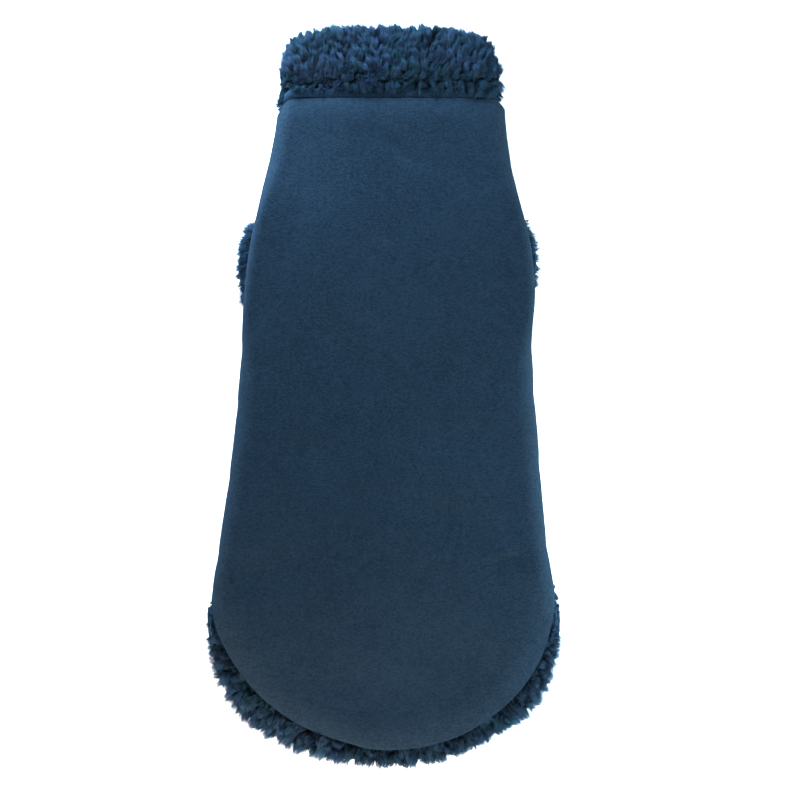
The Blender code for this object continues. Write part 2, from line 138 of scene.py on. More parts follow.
# Finer creases of the back. Round is the way round the body from the middle of the back.
CREASE = "round y degrees half_length half_width depth"
BACK_CREASES = table_of(
    CREASE,
    (27, 120, -44, 17, 4, -0.7),
    (10, 132, -40, 12, 3, 0.5),
    (66, -82, 16, 12, 3.5, -0.8),
    (64, -88, 14, 14, 3, 0.6),
    (22, -60, -12, 26, 6, 0.5),
    (50, -66, 10, 22, 5, -0.45),
    (-66, 44, 62, 20, 5, 0.6),
    (-60, 108, 74, 24, 5, -0.6),
    (72, 40, -66, 20, 5, 0.6),
    (70, 104, -72, 22, 5, -0.6),
    (-30, -128, 30, 24, 7, 0.4),
    (34, -140, -28, 22, 7, 0.4),
    (-38, -28, 8, 22, 6, 0.4),
    (-8, 84, 20, 26, 8, 0.35),
    (84, 120, -20, 12, 4.5, 0.45),
    (92, 30, 36, 14, 5, 0.5),
    (88, 2, 20, 16, 5.5, 0.4),
    (96, -38, -14, 14, 5, 0.4),
    (100, -78, 24, 13, 5, 0.45),
    (-80, 122, 22, 12, 4.5, 0.45),
    (-86, 28, -34, 14, 5, 0.5),
    (-84, -6, -16, 16, 5.5, 0.4),
    (-92, -46, 18, 13, 5, 0.4),
    (-98, -84, -22, 12, 5, 0.45),
)
BELLY_CREASES = table_of(
    CREASE,
    (-18, 96, 12, 22, 5, 0.9),
    (20, 78, -16, 24, 6, 1),
    (-24, 42, -22, 18, 5, 0.9),
    (14, 22, 8, 30, 7, 0.8),
    (-20, -14, 14, 26, 6, 0.8),
    (30, -46, -10, 24, 7, 0.9),
    (-34, -74, 6, 28, 7, 0.8),
)

RING_SIDES = ("left", "right", "low", "high")
BAND = table_of(
    ("y", *RING_SIDES),
    (160.9, -53, 63.4, 1.6, 16.6),
    (165.5, -53, 63.4, 1.6, 16.6),
)
COLLAR = table_of(
    ("y", *RING_SIDES),
    (165.8, -53, 63.4, 1.6, 16.6),
    (170.5, -55.8, 65.6, 0.3, 21.6),
    (178, -55.2, 64.2, 0, 23.8),
    (185.5, -53.2, 61.8, 0, 23.8),
    (191, -51.2, 60, 0, 23),
    (196, -48, 56.6, 0.2, 22),
    (202, -44, 52, 0.6, 21.4),
)
BAND_LENGTH = BAND[-1].y - BAND[0].y
COLLAR_LENGTH = COLLAR[-1].y - COLLAR[0].y
COLLAR_LIP = 8
COLLAR_SAG = 2.8

Arm = namedtuple("Arm", "side y tip")
ARMS = {"left": Arm(-1, 70.5, -78.6), "right": Arm(1, 72.5, 85)}
ARM_HALF_WIDTH = 25
ARM_HEIGHT = 12.5
ARM_TIP_RADIUS = 38
ARM_CLEARANCE = 0.4
ARM_TENT = (25, 62)
ARMHOLE = (29, 41)
ARMHOLE_IN_BACK = 5
ARMHOLE_IN_BELLY = 6
BELLY_LIFT = 14
CUFF_LENGTH = 12.5

# Lines and steps of points
TOP_LINES = 64
FOLD_LINES = 10
UNDER_LINES = 9
BODY_STEPS = 120
FLAP_STEPS = 38
BELLY_LINES = 46
BELLY_STEPS = 120
HEM_STEPS = 6  # to each row of its table
NECK_STEPS = 150
ARM_STEPS = 96

# ---- the form


def stacked(x, y, z):
    return np.stack([x, y, z], axis=-1)


def mix(a, b, t):
    return a + (b - a) * t


def smoothstep(t):
    t = np.clip(t, 0, 1)
    return t * t * (3 - 2 * t)


def spaced(count, ease):
    """Values from 0 to 1, closer together at both ends as ease goes from 0 to 1."""
    even = np.linspace(0, 1, count)
    return mix(even, 0.5 - 0.5 * np.cos(np.pi * even), ease)


def read(table, column, y):
    """A table's column at y, on a smooth curve through its rows."""
    rows = sorted(table)
    at = np.array([row.y for row in rows])
    value = np.array([getattr(row, column) for row in rows])
    order = np.arange(len(rows))
    low, high = np.maximum(order - 1, 0), np.minimum(order + 1, len(rows) - 1)
    slope = (value[high] - value[low]) / (at[high] - at[low])
    y = np.clip(y, at[0], at[-1])
    i = np.clip(np.searchsorted(at, y, side="right") - 1, 0, len(rows) - 2)
    span = at[i + 1] - at[i]
    t = (y - at[i]) / span
    start = value[i] * (1 + 2 * t) + slope[i] * span * t
    end = value[i + 1] * (3 - 2 * t) + slope[i + 1] * span * (t - 1)
    return start * (1 - t) ** 2 + end * t * t


def rounded_hem():
    """x, y and reach of points along the hem from left to right, on a smooth curve."""
    points = []
    for i in range(len(HEM) - 1):
        four = np.array([HEM[max(i - 1, 0)], HEM[i], HEM[i + 1], HEM[min(i + 2, len(HEM) - 1)]])
        for t in np.arange(HEM_STEPS) / HEM_STEPS:
            weights = (
                (-t + 2 * t**2 - t**3) / 2,
                (2 - 5 * t**2 + 3 * t**3) / 2,
                (t + 4 * t**2 - 3 * t**3) / 2,
                (t**3 - t**2) / 2,
            )
            points.append(np.array(weights) @ four)
    return np.array([*points, HEM[-1]])


HEM_LINE = rounded_hem()


def hem_y(x):
    return np.interp(x, HEM_LINE[:, 0], HEM_LINE[:, 1])


def hem_nearest(x, y):
    """How far (x, y) is from the hem, and the x and y of the hem's nearest point."""
    shape = np.broadcast(x, y).shape
    best, near_x, near_y = (np.full(shape, value) for value in (np.inf, 0, 0))
    for (ax, ay, _), (bx, by, _) in zip(HEM_LINE, HEM_LINE[1:]):
        dx, dy = bx - ax, by - ay
        t = np.clip(((x - ax) * dx + (y - ay) * dy) / (dx * dx + dy * dy), 0, 1)
        at_x, at_y = ax + t * dx, ay + t * dy
        distance = np.hypot(x - at_x, y - at_y)
        nearer = distance < best
        near_x, near_y = np.where(nearer, at_x, near_x), np.where(nearer, at_y, near_y)
        best = np.minimum(best, distance)
    return best, near_x, near_y


def by_side(side, left, right):
    return np.where(np.asarray(side) < 0, left, right)


def arm_distance(side, y):
    return np.abs(y - by_side(side, ARMS["left"].y, ARMS["right"].y))


def outline(side, y):
    return by_side(side, read(BODY, "left", y), read(BODY, "right", y))


def beside_arm(side, y, reach):
    """1 beside an arm, falling to 0 between the two distances of reach."""
    start, end = reach
    return 1 - smoothstep((arm_distance(side, y) - start) / (end - start))


def back_seam(side, y):
    return outline(side, y) - side * (SEAM_INSET - ARMHOLE_IN_BACK * beside_arm(side, y, ARMHOLE))


def belly_seam(side, y):
    armhole = ARMHOLE_IN_BELLY * beside_arm(side, y, ARMHOLE)
    return outline(side, y) - side * (SEAM_INSET + SEAM_GAP + armhole)


def fold_low(side, y):
    return (ARM_HEIGHT + ARM_CLEARANCE) * beside_arm(side, y, ARM_TENT)


def fold(side, y):
    """The half-round side fold at y: its outline's x, its radius and its middle's height."""
    low, high = fold_low(side, y), read(BODY, "height", y) - CROWN
    return outline(side, y), (high - low) / 2, (high + low) / 2


def neck_fall(x):
    """How far the neck's edge falls away towards its corners."""
    side = np.where(x < 0, -1, 1)
    corner, straight = by_side(side, *NECK_CORNER), by_side(side, *NECK_STRAIGHT)
    across = np.minimum(np.abs(x / outline(side, NECK_Y - corner)), 1)
    return corner * np.maximum(0, (across - straight) / (1 - straight)) ** 2


def rolled(distance, roll):
    return roll.fall * np.maximum(0, 1 - distance / roll.width) ** 2


def crease_depth(creases, across, y):
    """The depth of a list of creases at (across, y)."""
    depth = 0
    for centre, centre_y, degrees, half_length, half_width, deep in creases:
        turn = math.radians(degrees)
        along = (across - centre) * math.cos(turn) + (y - centre_y) * math.sin(turn)
        beside = (y - centre_y) * math.cos(turn) - (across - centre) * math.sin(turn)
        depth = depth + deep * np.exp(-((along / half_length) ** 2) - (beside / half_width) ** 2)
    return depth


def back_height(x, y):
    """The height of the back's outer face above (x, y)."""
    edge, radius, middle = fold(np.where(x < 0, -1, 1), y)
    inside = np.abs(edge) - np.abs(x)
    fall = rolled(hem_nearest(x, y)[0], HEM_ROLL) + rolled(NECK_Y - neck_fall(x) - y, NECK_ROLL)
    fall = fall + crease_depth(TROUGHS, x, y)
    crowned = middle + radius + CROWN * (1 - (x / (np.abs(edge) - radius)) ** 2) - fall
    turned = np.sqrt(np.maximum(0, 1 - (1 - np.maximum(inside, 0) / radius) ** 2))
    return np.where(inside >= radius, crowned, middle + (radius - fall) * turned)


def belly_lift(x, y):
    side = np.where(x < 0, -1, 1)
    start, end = ARMHOLE
    at_end = smoothstep((arm_distance(side, y) - ARM_HALF_WIDTH) / (end - ARM_HALF_WIDTH))
    inside = np.abs(belly_seam(side, y)) - np.abs(x)
    return fold_low(side, y) * at_end * (1 - smoothstep(inside / BELLY_LIFT))


UNDER, LOWER, UPPER, TOP = range(4)


def back_point(kind, share, side, y):
    """(x, y, z) of the back on its lengthwise lines, each of a kind and a share of that stretch."""
    edge, radius, middle = fold(side, y)
    left, right = (outline(s, y) - s * fold(s, y)[1] for s in (-1, 1))
    turn = (share - (kind == LOWER)) * np.pi / 2
    on_fold = edge - side * radius * (1 - np.cos(turn))
    at_bottom = mix(back_seam(side, y), edge - side * radius, share)
    x = np.select([kind == TOP, kind == UNDER], [mix(left, right, share), at_bottom], on_fold)
    lower = [middle + radius * np.sin(turn), middle - radius]
    return stacked(x, y, np.select([kind == LOWER, kind == UNDER], lower, back_height(x, y)))


def back_form():
    """The back's outer face, points[line][step], from one belly seam over the top to the other."""
    half = [(UNDER, n / UNDER_LINES) for n in range(UNDER_LINES)]
    half += [(kind, n / FOLD_LINES) for kind in (LOWER, UPPER) for n in range(FOLD_LINES)]
    lines = [(*place, -1) for place in half]
    lines += [(TOP, share, 0) for share in spaced(TOP_LINES, 0.2)]
    lines += [(*place, 1) for place in reversed(half)]
    kind, share, side = np.array(lines).T
    start = np.full(len(lines), NECK_Y)
    for _ in range(6):
        start = NECK_Y - neck_fall(back_point(kind, share, side, start)[:, 0])
    low, high = (np.full(len(lines), y) for y in HEM_SPAN)
    for _ in range(30):
        end = mix(low, high, 0.5)
        inside = end > hem_y(back_point(kind, share, side, end)[:, 0])
        low, high = np.where(inside, low, end), np.where(inside, end, high)
    end = np.where(kind >= UPPER, mix(low, high, 0.5), BELLY_HEM_Y)
    body = mix(start[:, None], BODY_END_Y, spaced(BODY_STEPS, 0.5))
    even = np.arange(1, FLAP_STEPS + 1) / FLAP_STEPS
    flap = mix(BODY_END_Y, end[:, None], mix(even, np.sin(even * np.pi / 2), 0.5))
    y = np.concatenate([body, flap], axis=1)
    return back_point(kind[:, None], share[:, None], side[:, None], y)


def unit(vectors):
    return vectors / np.maximum(np.linalg.norm(vectors, axis=-1, keepdims=True), 1e-12)


def grid_normals(points):
    """Normals of a grid of points, on the left of its lines."""
    return unit(np.cross(np.gradient(points, axis=1), np.gradient(points, axis=0)))


def ripple(a, b, waves, seed):
    """Small uneven waves over (a, b) of mean size 1, from waves of (shortest, longest) length."""
    rng = seeded(seed)
    total = 0
    for _ in range(9):
        length, heading = rng.uniform(*waves), rng.uniform(0, np.pi)
        phase = rng.uniform(0, 2 * np.pi)
        along = a * np.cos(heading) + b * np.sin(heading)
        total = total + np.sin(along * 2 * np.pi / length + phase)
    return total / 3


# ---- making pieces

LYING = 2.2  # the height under which pile is pressed down softly on the floor


def placed(points):
    """Points of the drawing as flat numbers, in the frame's metres."""
    return ((np.asarray(points, float) - ORIGIN) * MM).astype(np.float32).ravel()


def settled(points):
    """Points whose lowest part lies down softly on the floor."""
    z = points[:, 2]
    pressed = LYING * np.exp(np.clip((z - LYING) / LYING, -6, 0))
    points[:, 2] = np.where(z < LYING, pressed, z)
    return points


def in_scene(name, data):
    made = bpy.data.objects.new(name, data)
    bpy.context.scene.collection.objects.link(made)
    return made


def select_only(*pieces):
    """Selects these pieces alone, the last of them active."""
    if bpy.context.object and bpy.context.object.mode != "OBJECT":
        bpy.ops.object.mode_set(mode="OBJECT")
    bpy.ops.object.select_all(action="DESELECT")
    for piece in pieces:
        piece.select_set(True)
        bpy.context.view_layer.objects.active = piece


def edited(piece, *steps):
    """Runs each (operator, settings) on the whole of a piece's mesh."""
    select_only(piece)
    bpy.ops.object.mode_set(mode="EDIT")
    bpy.ops.mesh.select_all(action="SELECT")
    for operator, settings in steps:
        operator(**settings)
    bpy.ops.object.mode_set(mode="OBJECT")
    return piece


def finished(piece, *modifiers):
    """Adds each (type, settings) modifier to a piece and applies it."""
    select_only(piece)
    for kind, settings in modifiers:
        modifier = piece.modifiers.new(kind.lower(), kind)
        for key, value in settings.items():
            setattr(modifier, key, value)
        bpy.ops.object.modifier_apply(modifier=modifier.name)
    piece.data.shade_smooth()
    return piece


FACES_OUT = (bpy.ops.mesh.normals_make_consistent, {"inside": False})


def merged(within):
    return bpy.ops.mesh.remove_doubles, {"threshold": within * MM}


def laid(name, points, material):
    """A flat grid of cloth laid on a form, points[line][step]."""
    select_only()
    lines, steps = points.shape[:2]
    bpy.ops.mesh.primitive_grid_add(x_subdivisions=steps - 1, y_subdivisions=lines - 1, size=0.2)
    cloth = bpy.context.object
    cloth.name = cloth.data.name = name
    cloth.data.vertices.foreach_set("co", placed(points))
    cloth.data.update()
    cloth.data.materials.append(material)
    cloth.data.shade_smooth()
    return cloth


def tube(name, points, material):
    """Cloth laid on a form whose lines and steps meet, with its seams closed."""
    return edited(laid(name, points, material), merged(0.01), FACES_OUT)


def wall_of_fleece(cloth):
    """Gives a sheet its thickness, inwards, and rounds its edges."""
    thick = {"thickness": FLEECE * MM, "offset": -1, "use_even_offset": True}
    rounding = {"width": EDGE_ROUND * MM, "segments": 3}
    rounding |= {"limit_method": "ANGLE", "angle_limit": math.radians(EDGE_ANGLE)}
    return edited(finished(cloth, ("SOLIDIFY", thick), ("BEVEL", rounding)), FACES_OUT)


def from_solid(name, node, material, levels, moved):
    """A finer copy of a solid, with its points moved by moved(points, normals), in the drawing."""
    piece = in_scene(name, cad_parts[node].data.copy())
    quads = {"face_threshold": math.radians(60), "shape_threshold": math.radians(70)}
    edited(piece, merged(0.001), (bpy.ops.mesh.tris_convert_to_quads, quads))
    piece.data.materials.clear()
    piece.data.materials.append(material)
    finished(piece, ("SUBSURF", {"levels": levels, "render_levels": levels}))
    mesh = piece.data
    points, normals = np.zeros((2, len(mesh.vertices) * 3))
    mesh.vertices.foreach_get("co", points)
    mesh.vertex_normals.foreach_get("vector", normals)
    points, normals = points.reshape(-1, 3) / MM + ORIGIN, normals.reshape(-1, 3)
    mesh.vertices.foreach_set("co", placed(moved(points, normals)))
    mesh.update()
    return piece


# ---- pile


def scatter(width, length, spacing, seed, keep=None):
    """Places at least spacing apart on a width by length strip, in millimetres."""
    rng = seeded(seed)
    cells, found = {}, []
    tries = int(9 * width * length / spacing**2)
    for u, v in rng.uniform((0, 0), (width, length), (tries, 2)):
        if keep is not None and rng.uniform() > keep(u, v):
            continue
        i, j = int(u // spacing), int(v // spacing)
        around = [(a, b) for a in (i - 1, i, i + 1) for b in (j - 1, j, j + 1)]
        near = [place for cell in around for place in cells.get(cell, ())]
        if all((u - a) ** 2 + (v - b) ** 2 >= spacing**2 for a, b in near):
            cells.setdefault((i, j), []).append((u, v))
            found.append((u, v))
    return np.array(found)


def spikes(line, u, v, radius, sides):
    """Pointed strands along line[strand][ring]: vertices, faces, heights and how many in each."""
    count, rings = line.shape[0], line.shape[1] - 1
    turn = 2 * np.pi * np.arange(sides) / sides
    round_it = u[:, None] * np.cos(turn)[:, None] + v[:, None] * np.sin(turn)[:, None]
    around = line[:, :-1, None] + round_it[:, None] * radius[:, :, None, None]
    each = rings * sides + 1
    points = np.concatenate([around.reshape(count, -1, 3), line[:, -1:]], axis=1).reshape(-1, 3)
    j, after = np.arange(sides), (np.arange(sides) + 1) % sides
    ring = np.stack([j, after, sides + after, sides + j], 1)
    quads = np.concatenate([k * sides + ring for k in range(rings - 1)])
    last = (rings - 1) * sides
    tips = np.stack([last + j, last + after, np.full(sides, each - 1)], 1)
    start = (np.arange(count) * each)[:, None, None]
    faces = [(start + part).reshape(-1, part.shape[1]) for part in (quads, tips, j[::-1][None])]
    height = np.append(np.repeat(np.linspace(0, 1, rings + 1)[:-1], sides), 1)
    return points, faces, np.tile(height, count), each


WISPS = 6  # the finer points that each lock ends in
LOCK_BEND = 0.3
LOCK_SAG = np.array((0, 0, 0.1))
LOCK_FLATNESS = 0.85
CORE_RINGS = (0, 0.2, 0.38, 0.5)
CORE_WIDTHS = np.array((0.85, 0.7, 0.35))
# painted shade: the cores inside the locks are toned darker than their strands
CORE_PAINTED_SHADE = -0.7
STRAND_RINGS = (0, 0.55, 1)
STRAND_GATHERED = (0, 0.3, 0.7)  # how far a strand has come to its wisp at each ring
STRAND_STRAY = np.array((0, 0.3, 0.5))  # how far it strays there
STRAND_RADIUS = 0.15
STRAND_TAPER = np.array((1, 0.85))
LONG_STRANDS, LONG_BY = 0.03, 1.18  # the share of longer strands


def locks(name, root, aim, length, radius, tone, strands, seed, opened=(0.45, 1.1)):
    """One mesh of locks: each a soft core, with fine strands round it that part into wisps."""
    rng = seeded(seed)
    count = len(root)
    aim = unit(aim)
    u = unit(np.cross(aim, unit(rng.normal(size=(count, 3)))))
    v = np.cross(aim, u)

    def random(low, high, *shape):
        return rng.uniform(low, high, (count, *shape))

    bend = u * random(-LOCK_BEND, LOCK_BEND, 1) + v * random(-LOCK_BEND, LOCK_BEND, 1) - LOCK_SAG

    def centre(t):
        t = t[..., None]
        return root[:, None] + length[:, None, None] * (aim[:, None] * t + bend[:, None] * t**2)

    def disc(turn, apart):
        flat = v[:, None] * LOCK_FLATNESS * np.sin(turn)[..., None]
        flat = u[:, None] * np.cos(turn)[..., None] + flat
        return flat * (apart * radius[:, None])[..., None]

    core = radius[:, None] * CORE_WIDTHS * random(0.85, 1.1, 3)
    core_line = centre(np.tile(CORE_RINGS, (count, 1)))
    parts = [(spikes(core_line, u, v, core, 4), tone + CORE_PAINTED_SHADE)]
    turns = (np.arange(WISPS) + random(0, 0.8, WISPS)) * 2 * np.pi / WISPS
    wisp = disc(turns, random(0.25, 0.95, WISPS)) * random(*opened, 1)[..., None]
    wisp_length, wisp_tone = random(0.78, 1.1, WISPS), random(-0.3, 0.3, WISPS)
    pick = np.arange(count)[:, None], rng.integers(0, WISPS, (count, strands))
    turn = turns[pick] + rng.normal(scale=0.55, size=(count, strands))
    foot = disc(turn, np.sqrt(random(0.03, 1, strands)))
    own = wisp_length[pick] * random(0.8, 1.06, strands)
    own = np.where(random(0, 1, strands) < LONG_STRANDS, own * LONG_BY, own)
    line = np.stack([centre(own * t) for t in STRAND_RINGS], axis=2)
    for ring, gathered in enumerate(STRAND_GATHERED):
        line[:, :, ring] += mix(foot, wisp[pick], gathered)
    line += rng.normal(size=line.shape) * STRAND_STRAY[:, None]
    many = count * strands
    thick = STRAND_RADIUS * random(0.7, 1.25, strands, 1) * STRAND_TAPER
    own_tone = (tone[:, None] + wisp_tone[pick] + random(-0.12, 0.12, strands)).ravel()
    across = [np.repeat(axis, strands, axis=0) for axis in (u, v)]
    parts.append((spikes(line.reshape(many, 3, 3), *across, thick.reshape(many, 2), 3), own_tone))
    return joined(name, parts)


def joined(name, parts):
    """One mesh of several sets of strands, with each point's height and tone for its colour."""
    points, heights, tones, faces, start = [], [], [], [], 0
    for (vertices, sets, height, each), tone in parts:
        faces += [part + start for part in sets]
        start += len(vertices)
        points.append(vertices)
        heights.append(height)
        tones.append(np.repeat(tone, each))
    mesh = bpy.data.meshes.new(name)
    mesh.vertices.add(start)
    mesh.vertices.foreach_set("co", placed(settled(np.concatenate(points))))
    sizes = np.concatenate([np.full(len(part), part.shape[1]) for part in faces])
    corners = np.concatenate([part.ravel() for part in faces]).astype(np.int32)
    mesh.loops.add(len(corners))
    mesh.loops.foreach_set("vertex_index", corners)
    mesh.polygons.add(len(sizes))
    mesh.polygons.foreach_set("loop_start", (np.cumsum(sizes) - sizes).astype(np.int32))
    mesh.update(calc_edges=True)
    mesh.validate()
    for key, values in (("pile_height", heights), ("pile_tone", tones)):
        attribute = mesh.attributes.new(key, "FLOAT", "POINT")
        attribute.data.foreach_set("value", np.concatenate(values).astype(np.float32))
    mesh.shade_smooth()
    mesh.materials.append(PILE_BLUE)
    return in_scene(name, mesh)


GATHER = 0.07  # how far locks draw towards the middle of their clump


def leaned(places, spacing, seed, axes, lean, loose=0.17):
    """How locks lean, with the clump each belongs to and a little alone, and their tones."""
    low, high = places.min(0) - spacing, places.max(0) + spacing
    centres = scatter(*(high - low), spacing, seed) + low
    nearest = np.argmin(((places[:, None] - centres[None]) ** 2).sum(2), axis=1)
    rng = seeded(seed)
    heading = rng.normal(size=(len(centres), 2))[nearest]
    tone = rng.uniform(-1, 1, len(centres))[nearest]
    both = lean * heading + GATHER * (centres[nearest] - places)
    moved = sum(both[:, k : k + 1] * axis for k, axis in enumerate(axes))
    rng = seeded(seed + 50)
    tone = 0.6 * tone + rng.uniform(-0.5, 0.5, len(places))
    return moved + rng.normal(scale=loose, size=(len(places), 3)), tone


# ---- materials


def feed(tree, node, **values):
    """Sets a node's settings (set_...) and inputs, or links an input whose value is a socket."""
    for key, value in values.items():
        if key.startswith("set_"):
            setattr(node, key[4:], value)
            continue
        numbered = key[0] == "i" and key[1:].isdigit()
        socket = node.inputs[int(key[1:]) if numbered else key.replace("_", " ")]
        if isinstance(value, bpy.types.NodeSocket):
            tree.links.new(value, socket)
        else:
            socket.default_value = value
    return node


def new_node(tree, kind, **values):
    return feed(tree, tree.nodes.new(f"ShaderNode{kind}"), **values)


def noise(tree, where, scale, detail, rough=0.5):
    made = new_node(tree, "TexNoise", Vector=where, Scale=scale, Detail=detail, Roughness=rough)
    return made.outputs[0]


def sums(tree, operation, a, b, clamp=False):
    made = new_node(tree, "Math", set_operation=operation, set_use_clamp=clamp, i0=a, i1=b)
    return made.outputs[0]


def spread(tree, value, low, high, to_low, to_high):
    made = new_node(tree, "MapRange", Value=value, From_Min=low, From_Max=high)
    return feed(tree, made, To_Min=to_low, To_Max=to_high).outputs["Result"]


def swing(tree, value, size):
    """A noise's usual values as minus size to size."""
    return spread(tree, value, 0.3, 0.7, -size, size)


def blend_colour(tree, factor, a, b, mode="MIX"):
    made = new_node(tree, "Mix", set_data_type="RGBA", set_blend_type=mode)
    return feed(tree, made, i0=factor, i6=a, i7=b).outputs[2]


def bumped(tree, height, strength, distance):
    made = new_node(tree, "Bump", Height=height, Strength=strength, Distance=distance)
    return made.outputs["Normal"]


# Layers of the fleece's nap, with how much each tells in its tone and its height
NAP_LAYERS = table_of(
    "scale detail rough tone height",
    (22, 3, 0.55, 0.12, 0),
    (130, 3, 0.6, 0.1, 1.2),
    (740, 2, 0.6, 0.36, 1.1),
    (1850, 3, 0.7, 0.64, 0.6),
)
COMBED = (0.75, 1.3, 1)  # the stretch of its finer layers


def brushed_nap():
    """Fleece: short brushed fibres that lie in soft patches, with fine mottling."""
    tree = bpy.data.node_groups.new("brushed_nap", "ShaderNodeTree")
    for key, kind in (("Vector", "Vector"), ("Colour", "Color"), ("Brushed", "Color")):
        tree.interface.new_socket(key, in_out="INPUT", socket_type=f"NodeSocket{kind}")
    tree.interface.new_socket("Contrast", in_out="INPUT", socket_type="NodeSocketFloat")
    for key, kind in (("Colour", "Color"), ("Height", "Float")):
        tree.interface.new_socket(key, in_out="OUTPUT", socket_type=f"NodeSocket{kind}")
    given = tree.nodes.new("NodeGroupInput").outputs
    made = tree.nodes.new("NodeGroupOutput").inputs
    where = given["Vector"]
    combed = new_node(tree, "VectorMath", set_operation="MULTIPLY", i0=where, i1=COMBED).outputs[0]
    tones, heights = [], []
    for place, layer in zip((where, where, combed, combed), NAP_LAYERS):
        part = noise(tree, place, layer.scale, layer.detail, layer.rough)
        tones.append(swing(tree, part, layer.tone))
        if layer.height:
            heights.append(sums(tree, "MULTIPLY", part, layer.height))
    tone = sums(tree, "ADD", sums(tree, "ADD", *tones[:2]), sums(tree, "ADD", *tones[2:]))
    tone = sums(tree, "ADD", sums(tree, "MULTIPLY", tone, given["Contrast"]), 0.5, clamp=True)
    specks = spread(tree, noise(tree, where, 1900, 1), 0.66, 0.74, 0, 0.9)
    tone = sums(tree, "ADD", tone, specks)
    height = sums(tree, "ADD", sums(tree, "ADD", heights[2], heights[1]), heights[0])
    tree.links.new(blend_colour(tree, tone, given["Colour"], given["Brushed"]), made["Colour"])
    tree.links.new(height, made["Height"])
    return tree


NAP = brushed_nap()
SHADE = ("Roughness", "Specular_IOR_Level", "Sheen_Weight", "Sheen_Roughness", "Sheen_Tint")


def material(name, look, colours, *values):
    """A material with what look gives for its shader, and the values of SHADE."""
    made = bpy.data.materials.new(name)
    made.use_nodes = True
    tree = made.node_tree
    where = new_node(tree, "TexCoord").outputs["Object"]
    shader = tree.nodes["Principled BSDF"]
    feed(tree, shader, **look(tree, where, *colours), **dict(zip(SHADE, values)))
    return made


PAINTED_SHEEN_GAIN = (2.2, 2, 1.85, 1)  # painted sheen: how much paler the nap is painted where it is seen from its side
PAINTED_SHEEN_FALL = 0.45


def fleece(tree, where, colour, brushed, contrast):
    nap = new_node(tree, "Group", set_node_tree=NAP, Vector=where)
    nap = feed(tree, nap, Colour=colour, Brushed=brushed, Contrast=contrast).outputs
    normal = bumped(tree, nap["Height"], 0.4, 0.0004)
    # Painted sheen: the nap's colour is made paler where the surface turns away from the view
    facing = new_node(tree, "LayerWeight", Blend=0.5, Normal=normal).outputs["Facing"]
    painted_sheen = sums(tree, "POWER", facing, PAINTED_SHEEN_FALL)
    sheen_coloured = blend_colour(tree, 1, nap["Colour"], PAINTED_SHEEN_GAIN, "MULTIPLY")
    return {"Base_Color": blend_colour(tree, painted_sheen, nap["Colour"], sheen_coloured), "Normal": normal}


def pile(tree, where, root, middle, tip):
    """Painted shade at the roots of its locks, which are darker there and paler at their tips; each
    lock a little different.
    """
    height, tone = (
        new_node(tree, "Attribute", set_attribute_name=key).outputs["Fac"]
        for key in ("pile_height", "pile_tone")
    )
    lower = blend_colour(tree, spread(tree, height, 0, 0.5, 0, 1), root, middle)
    whole = blend_colour(tree, spread(tree, height, 0.5, 1, 0, 1), lower, tip)
    shade = sums(tree, "ADD", tone, swing(tree, noise(tree, where, 260, 1), 0.25))
    shade = spread(tree, shade, -2, 2.4, 0.34, 1.92)
    grey = new_node(tree, "CombineColor", i0=shade, i1=shade, i2=shade).outputs[0]
    toned = blend_colour(tree, 1, whole, grey, "MULTIPLY")
    cast = spread(tree, noise(tree, where, 75, 2), 0.36, 0.64, 0, 1)
    cast = blend_colour(tree, cast, (1.14, 0.94, 1.06, 1), (0.86, 1.1, 0.98, 1))
    normal = bumped(tree, noise(tree, where, 1800, 2), 0.15, 0.0003)
    return {"Base_Color": blend_colour(tree, 1, toned, cast, "MULTIPLY"), "Normal": normal}


def knots(tree, where, dark, light):
    """The close curls of the pile's ground, where no lock covers it."""
    curls = new_node(tree, "TexVoronoi", Vector=where, Scale=330).outputs["Distance"]
    fuzz = noise(tree, where, 1400, 3, 0.7)
    # Painted shade: the ground is darker in the hollows between the curls, where its bump is low
    tone = spread(tree, curls, 0, 0.8, 0.9, 0)
    tone = sums(tree, "ADD", tone, swing(tree, fuzz, 0.25), clamp=True)
    height = sums(tree, "MULTIPLY", curls, -1)
    height = sums(tree, "ADD", height, sums(tree, "MULTIPLY", fuzz, 0.25))
    normal = bumped(tree, height, 0.9, 0.0018)
    return {"Base_Color": blend_colour(tree, tone, dark, light), "Normal": normal}


FLEECE_SHADE = (0.92, 0, 0.03, 0.35, (0.36, 0.66, 1, 1))
PILE_SHEEN = (0.36, 0.68, 1, 1)
FLEECE_BLUE = material(
    "fleece_blue",
    fleece,
    ((0.0029, 0.0060, 0.0098, 1), (0.0054, 0.0105, 0.0169, 1), 1.65),
    *FLEECE_SHADE,
)
BAND_BLUE = material(
    "band_blue",
    fleece,
    ((0.0029, 0.0067, 0.0118, 1), (0.0050, 0.0108, 0.0188, 1), 1.3),
    *FLEECE_SHADE,
)
# root, middle and tip colours of the pile; the darker roots are painted shade
PILE_BLUE = material(
    "pile_blue",
    pile,
    ((0.0056, 0.0131, 0.0220, 1), (0.0076, 0.0182, 0.0314, 1), (0.0098, 0.0236, 0.0410, 1)),
    *(0.88, 0.04, 0.06, 0.4, PILE_SHEEN),
)
GROUND_BLUE = material(
    "pile_ground",
    knots,
    ((0.0024, 0.0062, 0.0110, 1), (0.0052, 0.0130, 0.0230, 1)),
    *(0.95, 0.02, 0.1, 0.5, PILE_SHEEN),
)

# ---- cloth


def drawn_in(from_seam, y, depth, uneven, seed):
    """How deep a seam draws the cloth in, a little unevenly."""
    near = np.maximum(0, 1 - from_seam / SEAM_WIDTH) ** 2
    return near * (depth + uneven * ripple(y, 0, SEAM_WAVES, seed))


